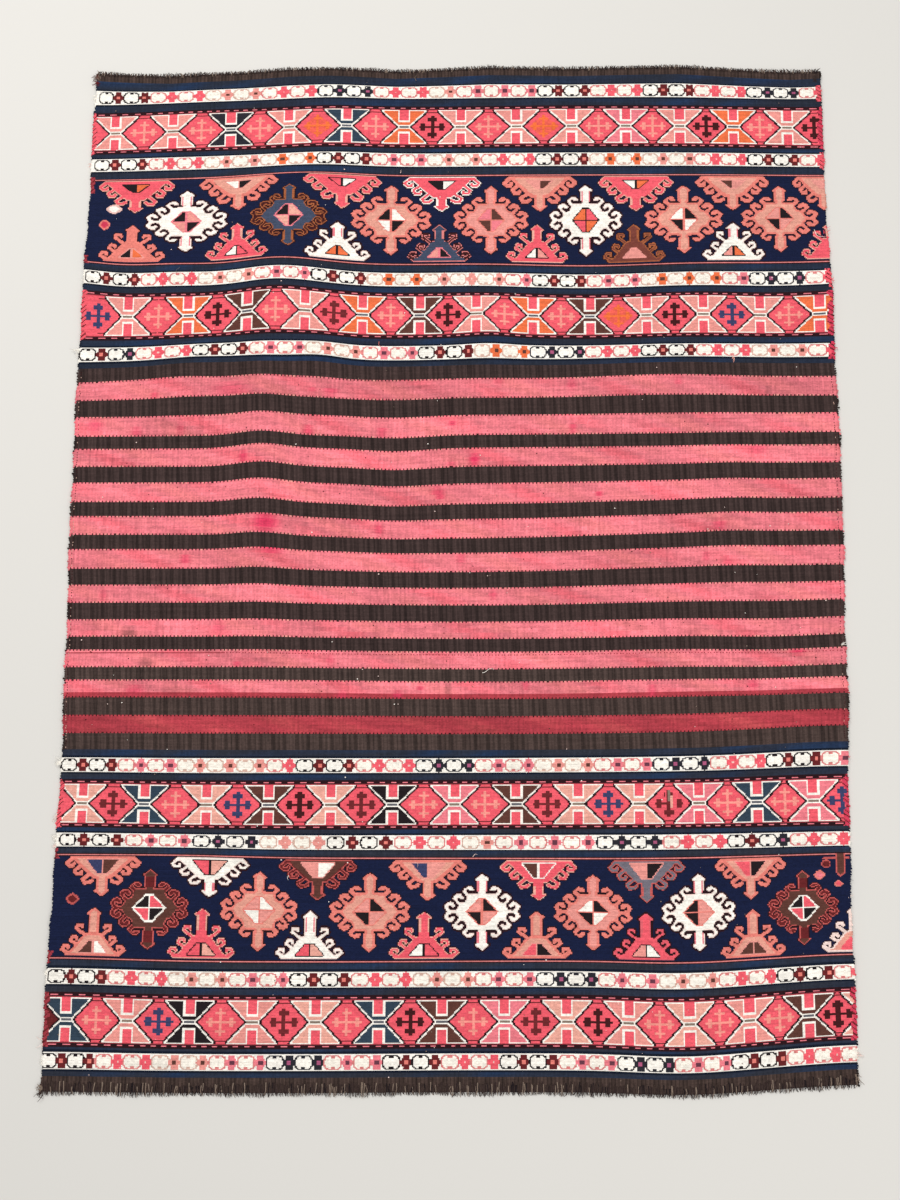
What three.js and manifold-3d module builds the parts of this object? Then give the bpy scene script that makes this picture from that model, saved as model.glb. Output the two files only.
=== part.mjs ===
// Mafrash: a woollen bedding bag whose end panels are gone, opened out flat on the ground.
// It is one cloth, woven in one piece: a plain-weave base with cross stripes in the middle, and a
// long side panel beyond each end of it, with raised bands of wrapped-weft pattern.
// X runs along the weft, Y along the warp, and Z up from the ground that the cloth lies on.
import * as THREE from "three";
import { mergeVertices } from "three/addons/utils/BufferGeometryUtils.js";
import Module from "manifold-3d";

// Driving dimensions in millimetres: the cloth
const CLOTH_WIDTH = 1046;
const BASE_LENGTH = 526;
const WEAVE_THICKNESS = 2.2;
const SELVEDGE_WIDTH = 4;
const SELVEDGE_CLEARANCE = 0.5;

// Bands of a side panel, measured along the warp
const GUARD_WIDTH = 13.6;
const BEAD_STRIP_WIDTH = 20;
const DIAMOND_BAND_WIDTH = 53;
const MEDALLION_BAND_WIDTH = 131;
const HEM_WIDTH = 16;
const HEM_TUFTS = 28;
const HEM_TUFT_REACH = 3;
const HEM_BEAT = 2.4;

// Stripes of the base, and where their middles lie, as shares of half the base's length
const STRIPE_WIDTH = 24;
const STRIPE_PLACES = [0.87, 0.675, 0.51, 0.325, 0.15, -0.025, -0.21, -0.385, -0.54, -0.7, -0.88];

// Medallions, with a row of latch hooks along each slanting side and a stem at each end
const MEDALLION_REPEATS = 7.5;
const MEDALLION_WIDTH = 98;
const MEDALLION_BODY_LENGTH = 50;
const MEDALLION_LENGTH = 104;
const STEM_WIDTH = 15;
const STEM_HEAD_WIDTH = 23;
const STEM_HEAD_LENGTH = 11;
const HOOKS_PER_SIDE = 3;
const HOOK_REACH = 9;
const HOOK_LEAN = 0.8;

// Hourglass figures, which leave the hexagons of a diamond band between them
const HOURGLASS_REPEATS = 13;
const HOURGLASS_WIDTH = 62;
const HOURGLASS_WAIST = 18;
const NOTCH_WIDTH = 16;
const NOTCH_DEPTH = 17;

// Where the first hourglass and the first bead stand, as a share of their repeat
const FIRST_FIGURE = 0.45;

// Oval beads of the pale strips
const BEAD_REPEATS = 26;
const BEAD_WIDTH = 27;
const BEAD_CORNERS = 6;

// Heights of the raised yarn, and how deep it is rooted in the cloth under it
const BAND_RELIEF = 0.8;
const STRIPE_RELIEF = 0.4;
const MOTIF_RELIEF = 0.9;
const BEAD_RELIEF = 1.2;
const SELVEDGE_RELIEF = 0.8;
const ROOT_DEPTH = 0.8;

// How far the weave drifts along the warp, at most
const WEAVE_DRIFT = 10.5;

// How far the cloth lies out of square, as a share of the distance from its middle
const SKEW = 0.0065;

// Yarn colours
const YARN = {
  brown: 0x3e332d,
  navy: 0x161b40,
  slate: 0x1c2c44,
  rose: 0xe4536b,
  stripe: 0xd9697a,
  madder: 0xb8323c,
  salmon: 0xe58f80,
  ivory: 0xfbf3e2,
  orange: 0xf07a2a,
  umber: 0x5a3424,
};
const MEDALLION_YARNS = ["ivory", "salmon", "umber", "salmon"];
const HALF_MEDALLION_YARNS = ["rose", "salmon", "ivory", "orange", "umber"];
const HOURGLASS_YARNS = ["salmon", "slate", "salmon", "umber", "orange"];

// Sizes that follow from the driving dimensions
const HALF_WIDTH = CLOTH_WIDTH / 2;
const PATTERN_HALF_WIDTH = HALF_WIDTH - SELVEDGE_WIDTH;
const BAND_TOP = WEAVE_THICKNESS + BAND_RELIEF;
const PANEL_BANDS = [
  { make: beadStrip, width: BEAD_STRIP_WIDTH },
  { make: diamondBand, width: DIAMOND_BAND_WIDTH },
  { make: beadStrip, width: BEAD_STRIP_WIDTH },
  { make: medallionBand, width: MEDALLION_BAND_WIDTH },
  { make: beadStrip, width: BEAD_STRIP_WIDTH },
  { make: diamondBand, width: DIAMOND_BAND_WIDTH },
  { make: beadStrip, width: BEAD_STRIP_WIDTH },
];
const PANEL_LENGTH =
  PANEL_BANDS.reduce((sum, { width }) => sum + GUARD_WIDTH + width, GUARD_WIDTH) + HEM_WIDTH;
const HALF_LENGTH = BASE_LENGTH / 2 + PANEL_LENGTH;

// Soft bumps of the weave's drift. Centre and spread are shares of the half width and half length,
// and rise is a share of the greatest drift.
const DRIFT_BUMPS = [
  { centre: [-0.46, 0.55], spread: [0.16, 0.13], rise: 1.1 },
  { centre: [-0.51, 0.2], spread: [0.09, 0.26], rise: 0.62 },
  { centre: [-0.44, 0.72], spread: [0.18, 0.07], rise: 0.76 },
  { centre: [-0.67, 0.35], spread: [0.13, 0.07], rise: 0.8 },
  { centre: [-0.36, 0.37], spread: [0.09, 0.07], rise: 0.67 },
  { centre: [-0.15, 0.18], spread: [0.11, 0.16], rise: -0.43 },
  { centre: [0.36, 0.54], spread: [0.21, 0.13], rise: -0.43 },
  { centre: [0.55, 0.34], spread: [0.21, 0.06], rise: 0.43 },
  { centre: [0.04, 0.03], spread: [0.5, 0.14], rise: -0.71 },
  { centre: [0.17, -0.21], spread: [0.57, 0.17], rise: -0.52 },
  { centre: [0.99, -0.37], spread: [0.25, 0.09], rise: 0.67 },
  { centre: [0.57, -0.91], spread: [0.17, 0.23], rise: -0.48 },
  { centre: [1.03, -0.88], spread: [0.23, 0.28], rise: 0.86 },
  { centre: [-1.03, -0.71], spread: [0.31, 0.28], rise: 0.71 },
  { centre: [-1.03, 0.91], spread: [0.31, 0.16], rise: -0.76 },
  { centre: [1.03, 0.88], spread: [0.34, 0.16], rise: -0.67 },
];

// Places along the weft where an edge changes direction, as shares of the pattern's half width
const BAND_STATIONS = [-1, -0.72, -0.48, -0.26, -0.08, 0.03, 0.14, 0.42, 0.72, 1];
const STRIPE_STATIONS = [-1, -0.72, -0.48, -0.26, 0.08, 0.6, 1];

const wasm = await Module();
wasm.setup();

// A point of a square cloth, moved to where it lies on the one pulled out of square.
const skewed = ([x, y]) => new THREE.Vector2(x + SKEW * y, y + SKEW * x);

// A point of the straight pattern, moved to where the weave has drifted.
function drifted([x, y]) {
  let shift = 0;
  for (const { centre, spread, rise } of DRIFT_BUMPS) {
    const across = (x / HALF_WIDTH - centre[0]) / spread[0];
    const along = (y / HALF_LENGTH - centre[1]) / spread[1];
    shift += rise * WEAVE_DRIFT * Math.exp(-across * across - along * along);
  }
  return skewed([x, y + shift]);
}

// A closed geometry as a solid that remembers its yarn.
const yarnOfSolid = new Map();
function solidOf(geometry, yarn) {
  geometry.deleteAttribute("normal");
  geometry.deleteAttribute("uv");
  const merged = mergeVertices(geometry);
  const mesh = new wasm.Mesh({
    numProp: 3,
    vertProperties: merged.attributes.position.array,
    triVerts: Uint32Array.from(merged.index.array),
  });
  const solid = new wasm.Manifold(mesh);
  yarnOfSolid.set(solid.originalID(), yarn);
  return solid;
}

// A field of yarn with a flat top, rooted in the cloth under it.
function yarnField(outline, floor, relief, yarn) {
  const shape = new THREE.Shape(outline.map(drifted));
  const depth = ROOT_DEPTH + relief;
  const geometry = new THREE.ExtrudeGeometry(shape, { depth, bevelEnabled: false });
  return solidOf(geometry.translate(0, 0, floor - ROOT_DEPTH), yarn);
}

// A bead of yarn that rises to a point. Its root is wider, so that it has its size at the floor.
function yarnBead(centre, width, length, floor, relief, yarn) {
  const height = relief + ROOT_DEPTH;
  const geometry = new THREE.ConeGeometry(1, height, BEAD_CORNERS, 1, false, Math.PI / 2);
  geometry.rotateX(Math.PI / 2);
  geometry.computeBoundingBox();
  const size = geometry.boundingBox.getSize(new THREE.Vector3());
  const spread = height / relief;
  geometry.scale((spread * width) / size.x, (spread * length) / size.y, 1);
  const { x, y } = drifted(centre);
  return solidOf(geometry.translate(x, y, floor - ROOT_DEPTH + height / 2), yarn);
}

// A band from selvedge to selvedge, with its edges following the drift at the given places.
function bandOutline(middle, width, stations) {
  const near = stations.map((share) => [share * PATTERN_HALF_WIDTH, middle - width / 2]);
  const far = stations.map((share) => [share * PATTERN_HALF_WIDTH, middle + width / 2]);
  return [...near, ...far.reverse()];
}

// Places of a repeat along the weft. The last figure may be cut off by the selvedge.
function repeatPlaces(repeats, firstShare) {
  const pitch = CLOTH_WIDTH / repeats;
  const places = [];
  for (let i = 0; i < repeats; i++) places.push((firstShare + i) * pitch - HALF_WIDTH);
  return places;
}

// The cloth's outline: straight selvedges, and ragged tufts along both hems.
function clothOutline() {
  const hem = [];
  for (let i = 0; i <= HEM_TUFTS; i++) {
    const ragged = Math.sin(HEM_BEAT * i) * Math.cos(i);
    const x = CLOTH_WIDTH * (i / HEM_TUFTS) - HALF_WIDTH;
    hem.push([x, HALF_LENGTH + HEM_TUFT_REACH * ragged]);
  }
  const farHem = hem.map(([x, y]) => [-x, y]);
  const nearHem = hem.map(([x, y]) => [x, -y]);
  return [...nearHem, ...farHem];
}

// Outlines that are repeated, moved or turned
const moved = (outline, x, y) => outline.map(([px, py]) => [px + x, py + y]);
const turned = (outline) => outline.map(([x, y]) => [-x, -y]);
const mirrored = (outline) => outline.map(([x, y]) => [-x, y]).reverse();
const doubled = (half) => [...half, ...turned(half).slice(1, -1)];
const pick = (list, index) => list[index % list.length];

// The half of a medallion beyond its waist, from the right of the waist over the stem to the left.
function medallionHalf() {
  const waist = new THREE.Vector2(MEDALLION_WIDTH / 2, 0);
  const shoulder = new THREE.Vector2(STEM_WIDTH / 2, MEDALLION_BODY_LENGTH / 2);
  const side = shoulder.clone().sub(waist);
  const out = new THREE.Vector2(side.y, -side.x).setLength(HOOK_REACH);
  const alongSide = (share) => waist.clone().addScaledVector(side, share / HOOKS_PER_SIDE);
  const right = [];
  for (let hook = 0; hook < HOOKS_PER_SIDE; hook++) {
    const root = alongSide(hook);
    const tip = alongSide(hook + HOOK_LEAN).add(out);
    right.push([root.x, root.y], [tip.x, tip.y]);
  }
  const end = MEDALLION_LENGTH / 2;
  const neck = end - STEM_HEAD_LENGTH;
  right.push([shoulder.x, shoulder.y], [shoulder.x, neck], [STEM_HEAD_WIDTH / 2, neck]);
  return [...right, [0, end], ...mirrored(right)];
}

// The half of an hourglass figure beyond its waist, with a notch in its end.
function hourglassHalf() {
  const end = DIAMOND_BAND_WIDTH / 2 - MOTIF_RELIEF;
  const notchFloor = DIAMOND_BAND_WIDTH / 2 - NOTCH_DEPTH;
  const right = [
    [HOURGLASS_WAIST / 2, 0],
    [HOURGLASS_WIDTH / 2, end],
    [NOTCH_WIDTH / 2, end],
    [NOTCH_WIDTH / 2, notchFloor],
  ];
  return [...right, ...mirrored(right)];
}

// Whole medallions along the middle of a band, and half ones between them at both of its edges.
function medallionBand(middle, width) {
  const whole = doubled(medallionHalf());
  const standing = medallionHalf();
  const hanging = turned(standing);
  const edge = width / 2 - MOTIF_RELIEF;
  const ground = bandOutline(middle, width, BAND_STATIONS);
  const fields = [yarnField(ground, WEAVE_THICKNESS, BAND_RELIEF, "navy")];
  const raise = (outline, x, y, yarn) =>
    fields.push(yarnField(moved(outline, x, y), BAND_TOP, MOTIF_RELIEF, yarn));
  repeatPlaces(MEDALLION_REPEATS, 1).forEach((x, i) => raise(whole, x, middle, pick(MEDALLION_YARNS, i)));
  repeatPlaces(MEDALLION_REPEATS, 0.5).forEach((x, i) => {
    raise(standing, x, middle - edge, pick(HALF_MEDALLION_YARNS, i));
    raise(hanging, x, middle + edge, pick(HALF_MEDALLION_YARNS, i + 2));
  });
  return fields;
}

// Hourglass figures side by side. The hexagons between them are the band's own ground.
function diamondBand(middle, width) {
  const figure = doubled(hourglassHalf());
  const outline = bandOutline(middle, width, BAND_STATIONS);
  const ground = yarnField(outline, WEAVE_THICKNESS, BAND_RELIEF, "rose");
  const figures = repeatPlaces(HOURGLASS_REPEATS, FIRST_FIGURE).map((x, i) =>
    yarnField(moved(figure, x, middle), BAND_TOP, MOTIF_RELIEF, pick(HOURGLASS_YARNS, i)),
  );
  return [ground, ...figures];
}

// A row of pale oval beads on the plain weave.
function beadStrip(middle, width) {
  return repeatPlaces(BEAD_REPEATS, FIRST_FIGURE).map((x) =>
    yarnBead([x, middle], BEAD_WIDTH, width, WEAVE_THICKNESS, BEAD_RELIEF, "ivory"),
  );
}

// The bands of a side panel, from the base outwards. Direction is 1 for the far one, -1 for the near.
function sidePanel(direction) {
  let edge = BASE_LENGTH / 2;
  return PANEL_BANDS.flatMap(({ make, width }) => {
    const middle = direction * (edge + GUARD_WIDTH + width / 2);
    edge += GUARD_WIDTH + width;
    return make(middle, width);
  });
}

// The cross stripes of the base. The last one, next to the near panel, is a deeper red.
function baseStripes() {
  return STRIPE_PLACES.map((share, i) => {
    const outline = bandOutline((share * BASE_LENGTH) / 2, STRIPE_WIDTH, STRIPE_STATIONS);
    const yarn = i < STRIPE_PLACES.length - 1 ? "stripe" : "madder";
    return yarnField(outline, WEAVE_THICKNESS, STRIPE_RELIEF, yarn);
  });
}

// The wrapped cord along one side edge, from hem to hem.
function selvedgeCord(side) {
  const outer = HALF_WIDTH - SELVEDGE_CLEARANCE;
  const inner = PATTERN_HALF_WIDTH + SELVEDGE_CLEARANCE;
  const end = HALF_LENGTH - HEM_WIDTH;
  const outline = [[inner, -end], [outer, -end], [outer, end], [inner, end]];
  return yarnField(outline.map(([x, y]) => [side * x, y]), WEAVE_THICKNESS, SELVEDGE_RELIEF, "madder");
}

// The pattern, cut off where the selvedge cords begin.
function pattern() {
  const figures = [...baseStripes(), ...sidePanel(1), ...sidePanel(-1)];
  const [x, y] = [PATTERN_HALF_WIDTH, HALF_LENGTH];
  const room = new THREE.Shape([[-x, -y], [x, -y], [x, y], [-x, y]].map(skewed));
  const depth = BAND_TOP + MOTIF_RELIEF + BEAD_RELIEF;
  const between = solidOf(new THREE.ExtrudeGeometry(room, { depth, bevelEnabled: false }), "brown");
  return wasm.Manifold.union(figures).intersect(between);
}

// The whole cloth as one solid: the ground weave with all that stands on it.
function wovenCloth() {
  const ground = new THREE.ExtrudeGeometry(new THREE.Shape(clothOutline().map(drifted)), {
    depth: WEAVE_THICKNESS,
    bevelEnabled: false,
  });
  return solidOf(ground, "brown").add(pattern()).add(selvedgeCord(1)).add(selvedgeCord(-1));
}

// The solid as a geometry whose triangles have the colour of their yarn.
function colouredGeometry(solid) {
  const { triVerts, vertProperties, numProp, runIndex, runOriginalID } = solid.getMesh();
  const position = [];
  const colour = [];
  runOriginalID.forEach((id, run) => {
    const yarn = new THREE.Color(YARN[yarnOfSolid.get(id)]);
    for (let corner = runIndex[run]; corner < runIndex[run + 1]; corner++) {
      const first = triVerts[corner] * numProp;
      position.push(...vertProperties.subarray(first, first + 3));
      colour.push(yarn.r, yarn.g, yarn.b);
    }
  });
  const geometry = new THREE.BufferGeometry();
  geometry.setAttribute("position", new THREE.Float32BufferAttribute(position, 3));
  geometry.setAttribute("color", new THREE.Float32BufferAttribute(colour, 3));
  geometry.computeVertexNormals();
  geometry.computeBoundingBox();
  return geometry;
}

const wool = new THREE.MeshStandardMaterial({ vertexColors: true, roughness: 0.92, metalness: 0 });
const cloth = new THREE.Mesh(colouredGeometry(wovenCloth()), wool);
cloth.name = "woven_cloth";

// The part's origin is on the ground, under the middle of the cloth.
const middle = cloth.geometry.boundingBox.getCenter(new THREE.Vector3());
cloth.position.set(-middle.x, -middle.y, 0);

const mafrash = new THREE.Group();
mafrash.add(cloth);

export default mafrash;
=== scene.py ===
# %% [markdown]
# A mafrash, opened out flat
# A mafrash is a woollen bedding bag. This one has lost its end panels and lies opened out: a striped
# base in the middle, and a side panel with bands of wrapped-weft pattern beyond each end of it.
# The part's own solid has the right outline and a low relief. Here it is replaced by a cloth with
# its stitches, its yarn colours and its worn edges.

# %% Load the part
import math
import bmesh
import bpy
import numpy as np
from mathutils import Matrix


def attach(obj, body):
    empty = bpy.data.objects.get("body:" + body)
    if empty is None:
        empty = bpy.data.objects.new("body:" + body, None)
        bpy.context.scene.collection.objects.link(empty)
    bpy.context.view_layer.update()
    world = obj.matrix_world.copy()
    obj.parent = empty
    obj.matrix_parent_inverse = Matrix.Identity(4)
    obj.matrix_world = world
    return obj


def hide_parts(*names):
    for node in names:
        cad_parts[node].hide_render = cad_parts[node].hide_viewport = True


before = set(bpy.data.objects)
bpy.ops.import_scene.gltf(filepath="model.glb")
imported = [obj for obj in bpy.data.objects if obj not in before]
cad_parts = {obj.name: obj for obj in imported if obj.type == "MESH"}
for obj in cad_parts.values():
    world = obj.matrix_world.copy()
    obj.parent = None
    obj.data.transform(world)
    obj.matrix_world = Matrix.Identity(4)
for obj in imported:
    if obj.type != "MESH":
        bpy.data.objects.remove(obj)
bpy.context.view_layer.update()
MM = 0.001
chance = np.random.default_rng(11)

# %% [markdown]
# Yarn colours
# The wool was dyed by hand in a few pots: indigo for the blues, madder for the reds and pinks, and
# undyed brown and ivory. One name per yarn keeps the chart readable, and one function turns the
# written colour into the linear values that the renderer works with.

# %% Yarn colours
def linear(written):
    """A colour written as sRGB hex, as linear values."""
    srgb = np.array([int(written[i:i + 2], 16) for i in (1, 3, 5)]) / 255
    return np.where(srgb <= 0.04045, srgb / 12.92, ((srgb + 0.055) / 1.055) ** 2.4)


WRITTEN = {
    "navy": "#151D3C", "guard": "#262B37", "teal": "#434C62", "blue": "#3D4166", "slate": "#2B2A31",
    "indigo": "#213350", "steel": "#334352", "wine": "#441A1C", "garnet": "#70292C", "russet": "#7A4036",
    "black": "#231B1E", "soot": "#2B1218", "umber": "#603A32", "brown": "#3C2E2C", "hem": "#42342F",
    "grey": "#66666C", "maroon": "#6A2426", "brick": "#A23A44", "madder": "#B03E48", "red": "#D8405A",
    "rose": "#F35F6C", "pink": "#F0808A", "stripe": "#EC7C86", "coral": "#EA8276", "salmon": "#EE9A90",
    "sand": "#E8A18F", "tan": "#F0AC9B", "orange": "#EF7346", "amber": "#A8603C", "blush": "#F2C4BA",
    "fawn": "#D9B3A2", "flame": "#F5743C", "ink": "#101828", "rust": "#C65C58", "dun": "#453733",
    "peach": "#FA9A8E", "ember": "#F16354", "dusty": "#DE827F", "berry": "#E0646E", "cerise": "#E03C60",
    "plum": "#6A3A48", "pale": "#F7DCD2", "ivory": "#FFF9EE", "cream": "#FFF6E8", "ash": "#8C7A6C",
    "mauve": "#B0587C", "smoke": "#2C2F39", "storm": "#76707A",
}
YARN = {name: linear(written) for name, written in WRITTEN.items()}
print(len(YARN), "yarns")

# %% [markdown]
# How the cloth lies
# A handwoven cloth is never straight. Its rows drift along the warp where the weaver beat harder or
# softer, the whole cloth is pulled a little out of square, and its edges wander. All of the pattern
# is drawn straight, in millimetres, and one function lays it down as the real one lies. A second
# function lets the cloth rise gently off the ground in a few places.

# %% How the cloth lies
# Half the width of the straight cloth, how far it is pulled out of square, and where its middle lies.
HALF_WIDTH = 523
SKEW = 0.0065
MIDDLE = 0.3
# Per pull on the rows: its centre, its spread across and along, and how far it moves them.
DRIFT = [
    (-240, 390, 85, 90, 11.5), (-265, 140, 45, 180, 6.5), (20, 20, 260, 100, -7.5),
    (90, -150, 300, 120, -5.5), (300, -640, 90, 160, -5), (540, -620, 120, 200, 9),
    (-540, -500, 160, 200, 7.5), (-540, 640, 160, 110, -8), (540, 620, 180, 110, -7),
    (-180, 610, 70, 110, 3.5), (290, 240, 110, 40, 4.5), (-350, 250, 70, 50, 8.5),
    (430, -120, 90, 70, -3.5), (190, 380, 110, 90, -4.5), (-80, 130, 60, 110, -4.5),
    (-540, 390, 60, 50, 8.5), (-190, 260, 45, 50, 7), (520, -260, 130, 60, 7), (380, 60, 50, 110, 2),
    (-230, 508, 95, 45, 8), (-395, 398, 60, 45, 3.5), (-350, -415, 110, 40, 2.8),
    (180, -418, 220, 42, -2), (-330, -470, 130, 40, 4.2), (50, 310, 40, 45, 3.5), (450, 350, 80, 50, -4),
    (-500, 475, 60, 40, 4), (250, -470, 80, 40, -2), (-180, 236, 50, 22, -3.5), (-335, 243, 45, 20, -3),
    (-530, 240, 50, 25, -2.5),
]
# Per rise off the ground, in the same order.
RISES = [(-250, 170, 50, 260, 4), (20, 330, 60, 90, 1.2)]
# Where the selvedges lie, as places along and across.
LEFT_EDGE = [(-700, -524), (-560, -521.5), (-240, -517), (-50, -521), (250, -523), (400, -520), (700, -517)]
RIGHT_EDGE = [(-700, 526), (-480, 523.5), (-240, 529), (100, 533), (330, 530), (560, 524), (700, 525)]
# How far the far hem is drawn in, as places across and along. It begins at one level of the cloth and
# comes to its full strength over a short way.
HEM_BEGINS, HEM_WAY = 655, 40
FAR_HEM = [
    (-523, 0), (-455, -4.5), (-410, -7), (-310, -5), (-240, -1.5), (-180, -1.5), (-85, -5.5), (50, -0.5),
    (165, -3.5), (320, -0.5), (420, -6), (480, -8.5), (523, -7),
]


def bumps(x, y, known):
    """The sum of soft bumps, each with its centre, its spread across and along, and its height."""
    total = 0
    for centre_x, centre_y, spread_x, spread_y, height in known:
        across, along = (x - centre_x) / spread_x, (y - centre_y) / spread_y
        total = total + height * np.exp(-across ** 2 - along ** 2)
    return total


def lay(x, y):
    """Where points of the straight pattern lie on the ground, both in millimetres."""
    drift = bumps(x, y, DRIFT)
    drift = drift + np.clip((y - HEM_BEGINS) / HEM_WAY, 0, 1) * np.interp(x, *zip(*FAR_HEM))
    side = np.sign(x)
    edge = np.where(x < 0, np.interp(y, *zip(*LEFT_EDGE)), np.interp(y, *zip(*RIGHT_EDGE)))
    wander = 0.8 * np.sin(y / 31 + 2 * side) + 0.5 * np.sin(y / 11.3 + side)
    x = x + np.abs(x / HALF_WIDTH) ** 16 * (edge - side * HALF_WIDTH + wander)
    y = y + drift
    return x + SKEW * y, y + SKEW * x - MIDDLE


def swell(x, y):
    """How far the cloth rises off the ground, in millimetres."""
    waves = 0.5 + 0.5 * np.sin(x / 61 + y / 143) * np.sin(y / 88 - x / 205)
    edge = 1.1 * np.abs(x / HALF_WIDTH) ** 10 * (1 + np.sin(y / 47))
    return bumps(x, y, RISES) + waves + edge


print("Drift at the ridge:", [round(float(v), 1) for v in lay(np.float64(-250), np.float64(300))])

# %% [markdown]
# The weaver's chart
# A weaver works such a pattern from memory, stitch by stitch. The chart does the same: a grid with
# one cell a stitch, which holds its yarn, its height and whether it is wrapped weft or plain weave.
# Shapes are drawn on it by their distance in millimetres, negative inside, so that an outline of any
# width is one comparison.

# %% The weaver's chart
# Width of a stitch, how far the weft turns out round the last warp, and how high wrapped ground and
# figures stand above plain weave.
STITCH = 1.68
TURN_OUT = 0.6
GROUND = 0.7
FIGURE = 1.3
# From beyond one selvedge to beyond the other.
ACROSS = (-600, 600)


def chart(rows, stitch=STITCH):
    """An empty chart from selvedge to selvedge, with its rows at the given places."""
    inner = np.linspace(-HALF_WIDTH, HALF_WIDTH, round(2 * HALF_WIDTH / stitch) + 1)
    columns = np.concatenate([[-HALF_WIDTH - TURN_OUT], inner, [HALF_WIDTH + TURN_OUT]])
    x, y = np.meshgrid((columns[1:] + columns[:-1]) / 2, (rows[1:] + rows[:-1]) / 2)
    dye = np.broadcast_to(YARN["brown"], (*x.shape, 3)).copy()
    return {
        "columns": columns, "rows": rows, "x": x, "y": y,
        "dye": dye, "height": np.zeros(x.shape), "wrap": np.zeros(x.shape),
    }


def window(c, x0, x1, y0, y1):
    """The part of the chart inside a box."""
    columns = slice(*np.searchsorted(c["x"][0], (x0, x1)))
    rows = slice(*np.searchsorted(c["y"][:, 0], (y0, y1)))
    return rows, columns


def around(c, place, level, wide, high):
    """The part of the chart round a point, and its distances across and along from there."""
    area = window(c, place - wide, place + wide, level - high, level + high)
    return area, c["x"][area] - place, c["y"][area] - level


def work(c, area, where, yarn, height=None):
    """Works the stitches of an area in one yarn, where they are wanted."""
    c["dye"][area][where] = YARN[yarn]
    if height is not None:
        c["height"][area][where] = height


def band(c, y0, y1, yarn, height=0.0, wrap=0.0):
    """A band from selvedge to selvedge."""
    area = window(c, *ACROSS, y0, y1)
    c["dye"][area] = YARN[yarn]
    c["height"][area] = height
    c["wrap"][area] = wrap


def line(x, y, points, width):
    """Distance to a bent line of some width."""
    far = np.full(x.shape, 1e3)
    for (ax, ay), (bx, by) in zip(points, points[1:]):
        dx, dy = bx - ax, by - ay
        share = np.clip(((x - ax) * dx + (y - ay) * dy) / (dx * dx + dy * dy), 0, 1)
        far = np.minimum(far, np.hypot(x - ax - share * dx, y - ay - share * dy))
    return far - width / 2


def patch(x, y, points):
    """Distance to the edge of a closed outline, negative inside."""
    loop = [*points, points[0]]
    inside = np.zeros(x.shape, bool)
    for (ax, ay), (bx, by) in zip(loop, loop[1:]):
        if ay != by:
            inside ^= ((ay > y) != (by > y)) & (x < (bx - ax) * (y - ay) / (by - ay) + ax)
    away = line(x, y, loop, 0)
    return np.where(inside, -away, away)


def places_of(known, count):
    """Places of a row of figures along the weft, on a smooth curve through a few known ones."""
    at = np.linspace(0, count - 1, len(known))
    return np.polyval(np.polyfit(at, known, len(known) - 1), np.arange(count))


print("Stitch width in millimetres:", STITCH)

# %% [markdown]
# Pale strips of beads
# Each narrow ivory strip carries a row of oval beads with a small rosette between each two. The
# weaver changed yarns every second bead or so, in no fixed order, so each strip is a word of letters,
# one per bead, that was read off the cloth.

# %% Pale strips of beads
# Per letter: bead outline, bead filling, rosette, and the rosette's eye with its width.
BEADS = {
    "D": ("black", "ivory", "maroon", "coral", 5.0), "N": ("slate", "ivory", "slate", "mauve", 5.0),
    "P": ("dusty", "cream", "rose", "blush", 1.8), "B": ("dusty", "cream", "pink", "plum", 6.4),
    "S": ("fawn", "cream", "salmon", "umber", 5.2), "T": ("fawn", "cream", "salmon", "pale", 1.8),
    "O": ("fawn", "cream", "orange", "umber", 5.2),
}
# Half the width of a bead, and half the step from one to the next.
BEAD, HALF_STEP = 12, 18


def bead_strip(c, low, high, known, letters):
    """One pale strip, with its beads and rosettes."""
    middle, half = (low + high) / 2, (high - low) / 2
    band(c, low, high, "ivory", GROUND, 1)
    places = places_of(known, len(letters))
    centres = [*(places[1:] + places[:-1]) / 2, places[-1] + HALF_STEP]
    for place, centre, letter in zip(places, centres, letters):
        outline, filling, petals, eye, eye_width = BEADS[letter]
        # The bead is an oval with broad shoulders, and a notch at its top and at its bottom.
        area, x, y = around(c, place, middle, 14, half)
        x, y = np.abs(x), np.abs(y)
        oval = ((x / BEAD) ** 3 + (y / (half - 0.9)) ** 3) ** (1 / 3)
        work(c, area, oval < 1, outline, GROUND)
        work(c, area, oval < 0.82, filling, FIGURE)
        work(c, area, (x < 2.6) & (y > half - 5) & (oval < 1), outline, GROUND)
        # The rosette is an upright bar, a level bar and a diamond, with its eye on top.
        area, x, y = around(c, centre, middle, 10, half)
        x, y = np.abs(x), np.abs(y)
        upright = (x < 4.6) & (y < half - 0.8) & ((x > 0.9) | (y < half - 3.2))
        level = (x < 8.6) & (y < 3)
        work(c, area, upright | level | (x + y < 9.4), petals, FIGURE)
        work(c, area, (x < eye_width / 2) & (y < 0.4 * eye_width), eye, FIGURE)


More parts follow.
